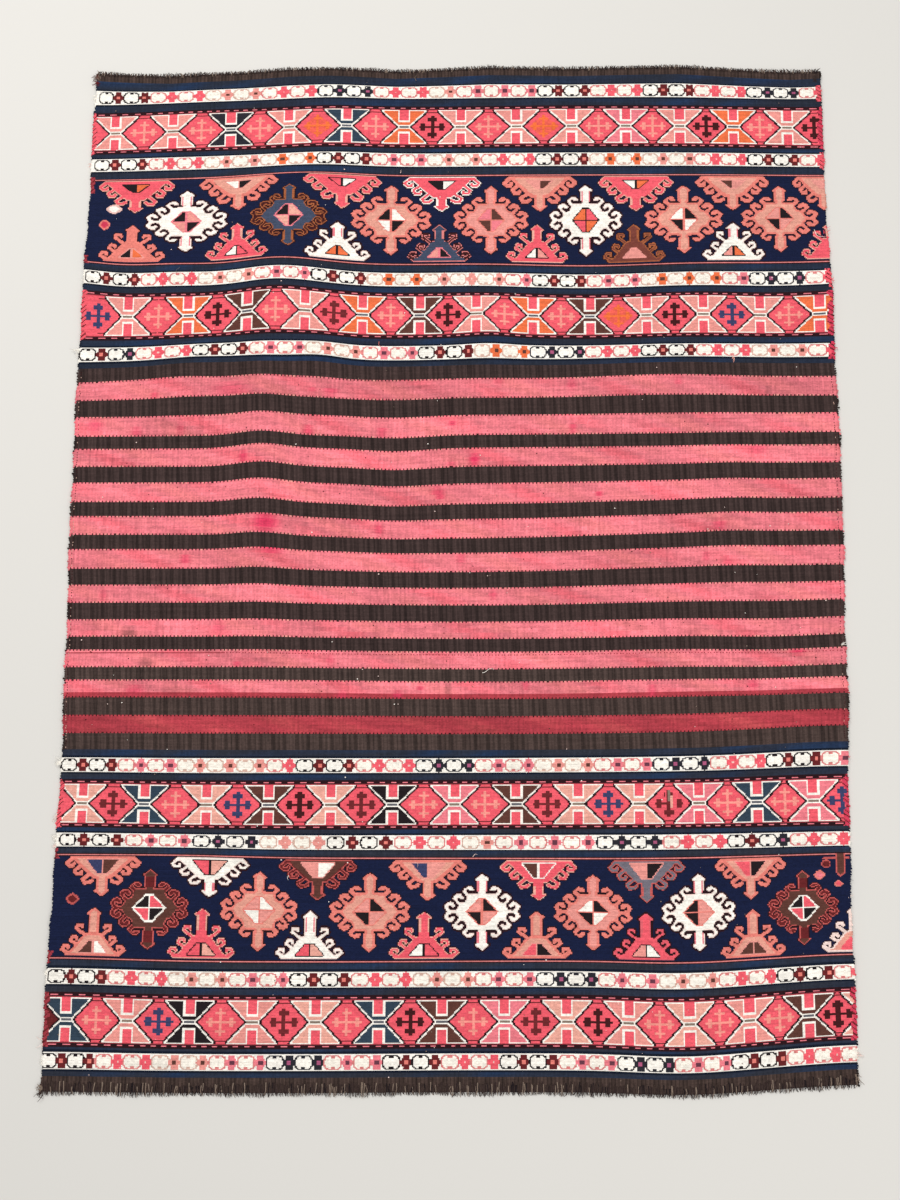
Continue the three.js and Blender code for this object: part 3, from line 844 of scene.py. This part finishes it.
def set_values(mesh, name, kind, domain, field, values):
    """Stores one named value per point or face."""
    store = mesh.attributes.new(name, kind, domain)
    store.data.foreach_set(field, np.ascontiguousarray(values, dtype=np.float32).ravel())


def corner_heights(c):
    """Heights at the corners of the stitches, each the mean of the stitches round it."""
    padded = np.pad(c["height"], 1, mode="edge")
    return (padded[1:, 1:] + padded[:-1, 1:] + padded[1:, :-1] + padded[:-1, :-1]) / 4


def sheet_from(name, c, turned_rows=(), top=THICKNESS, face_up=True):
    """Weaves one chart into a sheet."""
    rows, columns = c["x"].shape
    bm = bmesh.new()
    bmesh.ops.create_grid(bm, x_segments=columns, y_segments=rows, size=1)
    if not face_up:
        bmesh.ops.reverse_faces(bm, faces=bm.faces)
    piece = add_mesh(name, bm)
    mesh = piece.data
    points = np.empty(len(mesh.vertices) * 3, np.float32)
    mesh.vertices.foreach_get("co", points)
    points = points.reshape(-1, 3)
    i = np.rint((points[:, 0] + 1) / 2 * columns).astype(int)
    j = np.rint((points[:, 1] + 1) / 2 * rows).astype(int)
    x, y = c["columns"][i], c["rows"][j]
    height = top + (corner_heights(c)[j, i] if face_up else 0)
    turned = (i == 0) | (i == columns) | np.isin(j, [row % (rows + 1) for row in turned_rows])
    height = np.where(turned, OFF_GROUND, height) + swell(x, y)
    laid_x, laid_y = lay(x, y)
    mesh.vertices.foreach_set("co", (np.column_stack([laid_x, laid_y, height]) * MM).ravel())
    corners = np.empty(len(mesh.loops), np.int32)
    mesh.loops.foreach_get("vertex_index", corners)
    column = i[corners].reshape(-1, 4).min(1)
    row = j[corners].reshape(-1, 4).min(1)
    dye = np.concatenate([c["dye"][row, column], np.ones((len(row), 1))], axis=1)
    set_values(mesh, "dye", "FLOAT_COLOR", "FACE", "color", dye)
    set_values(mesh, "wrap", "FLOAT", "FACE", "value", c["wrap"][row, column])
    set_values(mesh, "straight", "FLOAT_VECTOR", "POINT", "vector", np.column_stack([x, y, 0 * x]) * MM)
    unwrapped = np.column_stack([i[corners] / columns, j[corners] / rows])
    mesh.uv_layers.new(name="OFBake").data.foreach_set("uv", unwrapped.astype(np.float32).ravel())
    mesh.polygons.foreach_set("use_smooth", np.ones(len(mesh.polygons), bool))
    mesh.update()
    return piece


# The rows that turn down at the two ends of the cloth.
TURNED = {"far_border": (-1,), "near_border": (0,)}
sheets = {name: sheet_from(name, c, TURNED.get(name, ())) for name, c in charts.items()}
for name, piece in sheets.items():
    print(name, 2 * len(piece.data.polygons), "triangles")

# %% [markdown]
# The underside
# The back of such a weave shows the same bands, blurred, because the wrapped yarn passes behind the
# warps and its ends are left hanging. A coarse chart of the same pattern gives just that. It lies
# on the ground and closes the cloth from below.

# %% The underside
BACK_ROWS = 141
BACK_STITCH = 11
back_chart = chart(np.linspace(*ENDS, BACK_ROWS + 1), BACK_STITCH)
draw_pattern(back_chart)
back_chart["dye"] = back_chart["dye"] * 0.8 + YARN["brown"] * 0.12
underside = sheet_from("underside", back_chart, top=OFF_GROUND, face_up=False)
print("underside", 2 * len(underside.data.polygons), "triangles")

# %% [markdown]
# Yarn ends
# Fringe, tufts and loose threads are all short lengths of yarn. A yarn starts as a small grid that is
# rolled up into a tube along its path. The first and the last point of the path come twice, where the
# tube draws together to a point, and its long edges and its ends are then welded.

# %% Yarn ends
# Faces round a yarn, and along a fringe yarn, whose path has four points.
SIDES = 5
FRINGE_STEPS = 5
# Distance of the warps, and thickness of their ends.
WARP_STEP = 1.35
WARP_RADIUS = 0.75
# How high they lie where they have come free.
FREE = THICKNESS + 0.5


def add_yarn(bm, store, path, radius, yarn, tip=0.35):
    """Adds one yarn along a path of points in millimetres, thinner towards its end."""
    path = np.asarray([path[0], *path, path[-1]], float)
    steps = len(path) - 1
    along = np.gradient(path, axis=0)
    along /= np.linalg.norm(along, axis=1)[:, None] + 1e-9
    side = np.cross(along, (0.1, 0.2, 1.0))
    side /= np.linalg.norm(side, axis=1)[:, None] + 1e-9
    up = np.cross(side, along)
    made = bmesh.ops.create_grid(bm, x_segments=steps, y_segments=SIDES, size=1)["verts"]
    colour = (*YARN[yarn], 1)
    for vertex in made:
        step = round((vertex.co.x + 1) / 2 * steps)
        turn = round((vertex.co.y + 1) / 2 * SIDES) * 2 * math.pi / SIDES
        thick = radius * (1 - (1 - tip) * (step - 1) / (steps - 2))
        offset = thick * (math.cos(turn) * side[step] + math.sin(turn) * up[step])
        vertex.co = (path[step] + offset) * MM
        for face in vertex.link_faces:
            face[store] = colour


def yarn_piece(name, yarns):
    """One piece from many yarns, each given as (path, radius, yarn)."""
    bm = bmesh.new()
    store = bm.faces.layers.float_color.new("dye")
    for path, radius, yarn in yarns:
        add_yarn(bm, store, path, radius, yarn)
    bmesh.ops.remove_doubles(bm, verts=bm.verts, dist=1e-6)
    for face in bm.faces:
        face.smooth = True
    return add_mesh(name, bm)


def on_cloth(x, y, above):
    """A point above the cloth, or above the ground outside it, in millimetres."""
    laid_x, laid_y = lay(np.float64(x), np.float64(y))
    return [laid_x, laid_y, above + swell(np.float64(x), np.float64(y))]


def fringe(edge, way, longest, back):
    """The cut warp ends along one hem. They come free somewhere on it, not only at its edge."""
    yarns = []
    for x in np.arange(2 - HALF_WIDTH, HALF_WIDTH - 2, WARP_STEP):
        x = x + chance.normal(0, 0.5)
        wave = 0.75 + 0.15 * math.sin(x / 23) + 0.1 * math.sin(x / 6.7)
        reach = longest * (0.45 + 0.55 * chance.random()) * wave
        lean = chance.normal(0, 1.6)
        path = [
            on_cloth(x, edge - way * back * chance.uniform(0.5, 1), THICKNESS),
            on_cloth(x + chance.normal(0, 0.8), edge - way * back * chance.uniform(0.1, 0.4), FREE),
            on_cloth(x + 0.6 * lean, edge + way * 0.5 * reach, 1.6),
            on_cloth(x + 1.2 * lean, edge + way * reach, 0.7 + 1.5 * chance.random()),
        ]
        yarn = chance.choice(["hem", "brown", "dun", "hem", "black", "brown", "ash"])
        yarns.append((path, WARP_RADIUS, yarn))
    return yarns


far_fringe = yarn_piece("far_fringe", fringe(ENDS[1], way=1, longest=4.5, back=5))
near_fringe = yarn_piece("near_fringe", fringe(ENDS[0], way=-1, longest=6.5, back=14))
for piece in (far_fringe, near_fringe):
    print(piece.name, len(piece.data.polygons) // (FRINGE_STEPS * SIDES), "warp ends")

# %% [markdown]
# Worn selvedges
# Along both sides the weft turns back round the last warp, and each turn is a small bead of the yarn
# that was being woven there. The overcasting that once covered them has mostly gone. Short tufts and
# loops of it are left, mostly white, with some red ones on the right.

# %% Worn selvedges
# Distance of the turns, and of the small stitches beside them along the base.
TURN_STEP = 2.9
STITCH_STEP = 3.6
BEAD_FACES = 20


def add_bead(bm, store, centre, size, colour):
    """Adds one small bead of wool. Its centre and its half sizes are in millimetres."""
    for vertex in bmesh.ops.create_icosphere(bm, subdivisions=1, radius=1)["verts"]:
        vertex.co = (np.array(centre) + np.array(vertex.co) * size) * MM
        for face in vertex.link_faces:
            face[store] = (*colour, 1)


def weft_turns(name, side):
    """Small beads of yarn along one selvedge, in the colours of the rows beside them."""
    bm = bmesh.new()
    store = bm.faces.layers.float_color.new("dye")
    for c in charts.values():
        column = -2 if side > 0 else 1
        for level in np.arange(c["rows"][0], c["rows"][-1], TURN_STEP):
            row = min(np.searchsorted(c["y"][:, 0], level), len(c["y"]) - 1)
            out = HALF_WIDTH + chance.normal(0.2, 0.5)
            centre = on_cloth(side * out, level + chance.normal(0, 0.4), 1.7)
            size = np.array([1.5, 1.5, 1.3]) * chance.uniform(0.8, 1.25)
            add_bead(bm, store, centre, size, c["dye"][row, column] * chance.uniform(0.75, 1.1))
    for level in np.arange(BASE[0] + 3.5, BASE[1] - 4, STITCH_STEP):
        pale = chance.random() < (0.5 if side < 0 and math.sin(level / 23) > 0 else 0.08)
        place = side * chance.normal(HALF_WIDTH - 4.4, 0.3)
        centre = on_cloth(place, level + chance.normal(0, 0.5), THICKNESS + 0.3)
        add_bead(bm, store, centre, np.array([0.6, 1.1, 0.4]), YARN["fawn" if pale else "wine"])
    for face in bm.faces:
        face.smooth = True
    return add_mesh(name, bm)


def tuft(x, y, way, count, reach, yarn):
    """A few short ends of yarn that stick out at one place, in a direction given in degrees."""
    ends = []
    for _ in range(count):
        angle = math.radians(way + chance.normal(0, 24))
        length = reach * chance.uniform(0.5, 1.1)
        bend = math.radians(chance.normal(0, 40))
        start = np.array(on_cloth(x + chance.normal(0, 1), y + chance.normal(0, 1.6), 2.0))
        half = start + np.array([math.cos(angle), math.sin(angle), 0.25]) * length / 2
        far = half + np.array([math.cos(angle + bend), math.sin(angle + bend), -0.3]) * length / 2
        far[2] = max(far[2], 0.7)
        ends.append((np.array([start, (start + half) / 2, half, far]), 0.6, yarn))
    return ends


# Per tuft: place, direction, number of ends, length and yarn.
TUFTS = [
    (-523, 671, 185, 6, 7, "ivory"), (-524, 288, 215, 5, 16, "ivory"), (-523, 565, 180, 4, 5, "blush"),
    (-523, 383, 180, 4, 5, "ivory"), (-523, -285, 185, 9, 11, "ivory"), (-523, -352, 250, 4, 14, "pale"),
    (-523, -384, 190, 7, 10, "ivory"), (-523, -396, 170, 5, 9, "pale"), (-523, -558, 180, 6, 6, "ivory"),
    (-523, -640, 240, 3, 13, "pale"), (-523, -663, 185, 5, 6, "ivory"), (-523, -190, 180, 3, 4, "ash"),
    (-521, -697, 205, 12, 10, "ash"), (-521, -703, 230, 9, 11, "hem"), (-520, 699, 165, 12, 12, "umber"),
    (-519, 692, 200, 8, 11, "maroon"), (-519, 700, 140, 6, 10, "ash"), (520, 450, 75, 7, 13, "rose"),
    (519, 440, 110, 5, 12, "red"), (523, 672, 40, 4, 6, "rose"), (523, 566, 0, 4, 5, "rose"),
    (523, 384, 0, 5, 6, "rose"), (523, 283, 0, 4, 5, "red"), (522, -445, 40, 6, 8, "grey"),
    (522, -462, 280, 4, 7, "pale"), (523, -664, 320, 5, 9, "pale"), (522, -690, 290, 7, 12, "ash"),
    (523, -285, 0, 3, 4, "rose"), (520, -128, 60, 3, 6, "ivory"), (391, 270, 250, 5, 8, "tan"),
    (515, 693, 60, 7, 9, "brown"),
]
left_selvedge = weft_turns("left_selvedge", -1)
right_selvedge = weft_turns("right_selvedge", 1)
tufts = yarn_piece("edge_tufts", [end for spec in TUFTS for end in tuft(*spec)])
for piece in (left_selvedge, right_selvedge):
    print(piece.name, len(piece.data.polygons) // BEAD_FACES, "turns and stitches")

# %% [markdown]
# Lint and stray threads
# White lint clings to the dark wool, and a few stray threads lie on it: a white one across the base,
# and hanging ends along the hem. They are small, but without them the cloth looks new.

# %% Lint and stray threads
def stray(x, y, way, length, yarn, radius=0.45):
    """A stray thread that lies on the cloth in a lazy curve."""
    angle = math.radians(way)
    path = []
    for share in np.linspace(0, 1, 7):
        bend = 0.16 * length * math.sin(share * 5 + x)
        along = length * share
        place_x = x + along * math.cos(angle) - bend * math.sin(angle)
        place_y = y + along * math.sin(angle) + bend * math.cos(angle)
        path.append(on_cloth(place_x, place_y, THICKNESS + 1.7))
    return path, radius, yarn


# Per thread: place, direction, length and yarn.
STRAYS = [
    (42, -157, 5, 16, "ivory"), (-212, -430, 275, 6, "ivory"), (-388, 404, 250, 9, "grey"),
    (-78, 545, 60, 5, "pale"), (505, 455, 320, 18, "ivory"), (-105, 296, 300, 8, "coral"),
    (30, -404, 20, 7, "pale"), (-58, 690, 80, 9, "ash"), (-45, -411, 300, 8, "blush"),
]


def lint(pale, dark):
    """Small flat flecks: pale fluff all over, and dark ends of warp in the pink stripes."""
    bm = bmesh.new()
    store = bm.faces.layers.float_color.new("dye")
    for index in range(pale + dark):
        x, y = chance.uniform(-505, 505), chance.uniform(-690, 690)
        yarns, above = ["ivory", "pale", "ash"], 1.5
        if index >= pale:
            middle, width, _ = STRIPES[chance.integers(len(STRIPES))]
            y = middle + width * chance.uniform(-0.4, 0.4)
            yarns, above = ["wine", "maroon", "umber"], 0.3
        size = np.array([0.7, 0.6, 0.35]) * chance.uniform(0.6, 1.6)
        add_bead(bm, store, on_cloth(x, y, THICKNESS + above), size, YARN[chance.choice(yarns)])
    return add_mesh("lint", bm)


strays = yarn_piece("stray_threads", [stray(*spec) for spec in STRAYS])
flecks = lint(pale=230, dark=130)
print(len(STRAYS), "stray threads and", len(flecks.data.polygons) // BEAD_FACES, "flecks")

# %% [markdown]
# Wool
# All of it is matt hand-spun wool. The yarn colour comes from the chart. Over it lie the streaks that
# a hand-dyed yarn makes along the weft, a slightly different tone for each stitch, and a little dust.
# Wrapped weft has a herringbone grain and plain weave has ribs along the warp, both as fine bumps.
# Real threads lie about a millimetre apart, which is too fine to show here, so the grain is drawn two
# to three times as coarse. Wool is all loose fibres, so it is nearly fully rough and hardly shines.

# %% Sizes in the wool, and nodes
# Sizes in millimetres, across and along or as one size for both.
STREAK = (110, 3)
TONE_PER_STITCH = (2.6, 1.6)
WARP_THREAD = (3.2, 75)
HERRINGBONE = (2.4, 1.6)
RIB = 2.7
CLOUD = 38
FUZZ = 1.4
LOOSE_FUZZ = 1.7 * FUZZ
# How dark and how light each of them makes the yarn, and how rough and how shiny wool is.
TONES = {
    "warps": (0.62, 1.38), "streaks": (0.66, 1.34), "wrapped": (0.72, 1.28), "each": (0.86, 1.12),
    "cloud": (0.88, 1.12), "loose": (0.6, 1.35),
}
ROUGH, SHINE = 0.95, 0.15


def add_node(tree, kind, inputs=(), **settings):
    """Adds one node with its settings, and links or sets its inputs. Gives back its outputs."""
    made = tree.nodes.new("ShaderNode" + kind)
    for key, value in settings.items():
        setattr(made, key, value)
    for key, value in dict(inputs).items():
        if isinstance(value, bpy.types.NodeSocket):
            tree.links.new(value, made.inputs[key])
        else:
            made.inputs[key].default_value = value
    return made.outputs


def new_material(name):
    """An empty material with its shader."""
    material = bpy.data.materials.new(name)
    material.use_nodes = True
    tree = material.node_tree
    tree.nodes.clear()
    surface = add_node(tree, "BsdfPrincipled", {"Roughness": ROUGH, "Specular IOR Level": SHINE})[0]
    add_node(tree, "OutputMaterial", {"Surface": surface})
    return material, tree, surface.node


print(len(TONES), "tones over the dye")

# %% Wool of the sheets
def in_repeats(place, wide, high):
    """Inputs that count a place in repeats, from their size in millimetres."""
    return {0: place, 1: (1 / wide / MM, 1 / high / MM, 0)}


def span(value, name):
    """Inputs that turn a value from 0 to 1 into one of the tones."""
    low, high = TONES[name]
    return {"Value": value, "To Min": low, "To Max": high}


def yarn_tone(tree, straight, wrap):
    """How much lighter or darker than its dye the wool is at each place."""
    stretched = add_node(tree, "VectorMath", in_repeats(straight, *STREAK), operation="MULTIPLY")[0]
    streaks = add_node(tree, "TexNoise", {"Vector": stretched, "Scale": 1.0, "Detail": 3.0})[0]
    stretched = add_node(tree, "VectorMath", in_repeats(straight, *WARP_THREAD), operation="MULTIPLY")[0]
    warps = add_node(tree, "TexNoise", {"Vector": stretched, "Scale": 1.0, "Detail": 3.0})[0]
    counted = add_node(tree, "VectorMath", in_repeats(straight, *TONE_PER_STITCH), operation="MULTIPLY")[0]
    stitch = add_node(tree, "VectorMath", {0: counted}, operation="FLOOR")[0]
    each = add_node(tree, "TexWhiteNoise", {"Vector": stitch}, noise_dimensions="2D")[0]
    cloud = add_node(tree, "TexNoise", {"Vector": straight, "Scale": 1 / CLOUD / MM, "Detail": 4.0})[0]
    warps = add_node(tree, "MapRange", span(warps, "warps"))[0]
    wrapped = add_node(tree, "MapRange", span(streaks, "wrapped"))[0]
    streaks = add_node(tree, "MapRange", span(streaks, "streaks"))[0]
    each = add_node(tree, "MapRange", span(each, "each"))[0]
    cloud = add_node(tree, "MapRange", span(cloud, "cloud"))[0]
    plain = add_node(tree, "Math", {0: warps, 1: streaks}, operation="MULTIPLY")[0]
    lines = add_node(tree, "Mix", {"Factor": wrap, "A": plain, "B": wrapped})[0]
    shade = add_node(tree, "Math", {0: lines, 1: each}, operation="MULTIPLY")[0]
    return add_node(tree, "Math", {0: shade, 1: cloud}, operation="MULTIPLY")[0]


def yarn_grain(tree, straight, wrap):
    """Height of the grain: a herringbone on wrapped weft, ribs on plain weave, and fuzz on both."""
    place = add_node(tree, "SeparateXYZ", {0: straight})
    wide, high = HERRINGBONE
    zigzag = add_node(tree, "Math", {0: place["Y"], 1: high * MM}, operation="PINGPONG")[0]
    slanted = add_node(tree, "Math", {0: place["X"], 1: zigzag}, operation="ADD")[0]
    slanted = add_node(tree, "Math", {0: slanted, 1: 2 * math.pi / (wide * MM)}, operation="MULTIPLY")[0]
    slanted = add_node(tree, "Math", {0: slanted}, operation="SINE")[0]
    rowed = add_node(tree, "Math", {0: place["Y"], 1: math.pi / (high * MM)}, operation="MULTIPLY")[0]
    rowed = add_node(tree, "Math", {0: rowed}, operation="COSINE")[0]
    herringbone = add_node(tree, "Math", {0: slanted, 1: rowed}, operation="ADD")[0]
    ribbed = add_node(tree, "Math", {0: place["X"], 1: 2 * math.pi / (RIB * MM)}, operation="MULTIPLY")[0]
    ribbed = add_node(tree, "Math", {0: ribbed}, operation="SINE")[0]
    grain = add_node(tree, "Mix", {"Factor": wrap, "A": ribbed, "B": herringbone})[0]
    fuzz = add_node(tree, "TexNoise", {"Vector": straight, "Scale": 1 / FUZZ / MM, "Detail": 2.0})[0]
    fuzz = add_node(tree, "Math", {0: fuzz, 1: 1.5}, operation="MULTIPLY")[0]
    return add_node(tree, "Math", {0: grain, 1: fuzz}, operation="ADD")[0]


def woven_wool():
    """Wool of the sheets."""
    material, tree, shader = new_material("woven_wool")
    dye = add_node(tree, "Attribute", attribute_name="dye")["Color"]
    wrap = add_node(tree, "Attribute", attribute_name="wrap")["Fac"]
    straight = add_node(tree, "Attribute", attribute_name="straight")["Vector"]
    shade = yarn_tone(tree, straight, wrap)
    colour = add_node(tree, "VectorMath", {0: dye, "Scale": shade}, operation="SCALE")[0]
    tree.links.new(colour, shader.inputs["Base Color"])
    grain = yarn_grain(tree, straight, wrap)
    bump = add_node(tree, "Bump", {"Height": grain, "Strength": 0.55, "Distance": 0.3 * MM})[0]
    tree.links.new(bump, shader.inputs["Normal"])
    return material


def loose_wool():
    """Wool of the fringe, the selvedge turns, the tufts and the lint."""
    material, tree, shader = new_material("loose_wool")
    dye = add_node(tree, "Attribute", attribute_name="dye")["Color"]
    place = add_node(tree, "TexCoord")["Object"]
    fuzz = add_node(tree, "TexNoise", {"Vector": place, "Scale": 1 / LOOSE_FUZZ / MM, "Detail": 3.0})[0]
    shade = add_node(tree, "MapRange", span(fuzz, "loose"))[0]
    colour = add_node(tree, "VectorMath", {0: dye, "Scale": shade}, operation="SCALE")[0]
    tree.links.new(colour, shader.inputs["Base Color"])
    bump = add_node(tree, "Bump", {"Height": fuzz, "Strength": 0.4, "Distance": 0.4 * MM})[0]
    tree.links.new(bump, shader.inputs["Normal"])
    return material


woven = woven_wool()
loose = loose_wool()
for piece in (*sheets.values(), underside):
    piece.data.materials.append(woven)
loose_pieces = [far_fringe, near_fringe, left_selvedge, right_selvedge, tufts, strays, flecks]
for piece in loose_pieces:
    piece.data.materials.append(loose)
print("Materials:", woven.name, loose.name)

# %% [markdown]
# What is cloth
# The cloth was woven flat and is laid flat. It is made of the sheets and the underside.

# %% What is cloth
print(len(sheets) + 1, "sheets of cloth")

# %% [markdown]
# Floor, light and camera
# A pale floor, an even sky and two broad lamps show the colours about as they are written. The camera
# stands a little towards the near hem and looks almost straight down, through a moderately wide lens.

# %% Floor, light and camera
# Sizes and places are in metres, the lamps' power is in watts, and the camera's turn is in degrees.
FLOOR_REACH = 6
LAMPS = [("main_lamp", (-1.2, 1.7, 2.6), 1.6, 54), ("fill_lamp", (1.6, -1.3, 2.8), 2.2, 41)]
SKY = 0.5
CAMERA_PLACE = (0.0034, -0.1936, 1.2158)
CAMERA_TURN = (5.971, 0.267, 0.064)
LENS, SENSOR = 27, 36


def add_floor():
    """A plain pale floor."""
    bm = bmesh.new()
    bmesh.ops.create_grid(bm, x_segments=1, y_segments=1, size=FLOOR_REACH)
    mesh = bpy.data.meshes.new("floor")
    bm.to_mesh(mesh)
    bm.free()
    floor = bpy.data.objects.new("floor", mesh)
    bpy.context.scene.collection.objects.link(floor)
    material, tree, shader = new_material("pale_floor")
    shader.inputs["Base Color"].default_value = (*linear("#DEDBD5"), 1)
    mesh.materials.append(material)


def add_lamp(name, place, size, power):
    """A broad lamp that shines at the middle of the cloth."""
    light = bpy.data.lights.new(name, "AREA")
    light.size = size
    light.energy = power
    lamp = bpy.data.objects.new(name, light)
    lamp.location = place
    length = math.dist(place, (0, 0, 0))
    lamp.rotation_euler = (math.acos(place[2] / length), 0, math.atan2(place[1], place[0]) + math.pi / 2)
    bpy.context.scene.collection.objects.link(lamp)


add_floor()
for lamp in LAMPS:
    add_lamp(*lamp)
world = bpy.data.worlds.new("studio")
world.use_nodes = True
world.node_tree.nodes["Background"].inputs["Strength"].default_value = SKY
world.node_tree.nodes["Background"].inputs["Color"].default_value = (1, 1, 1, 1)
bpy.context.scene.world = world
camera_data = bpy.data.cameras.new("camera")
camera_data.lens = LENS
camera_data.sensor_width = SENSOR
camera = bpy.data.objects.new("camera", camera_data)
camera.location = CAMERA_PLACE
camera.rotation_euler = [math.radians(angle) for angle in CAMERA_TURN]
bpy.context.scene.collection.objects.link(camera)
bpy.context.scene.camera = camera
bpy.context.scene.view_settings.view_transform = "Standard"
print("Camera at", CAMERA_PLACE, "with", len(LAMPS), "lamps")

# %% [markdown]
# Bring the scene up to date
# Last, the view layer is brought up to date, so that every piece stands where it was put.

# %% Bring the scene up to date
bpy.context.view_layer.update()
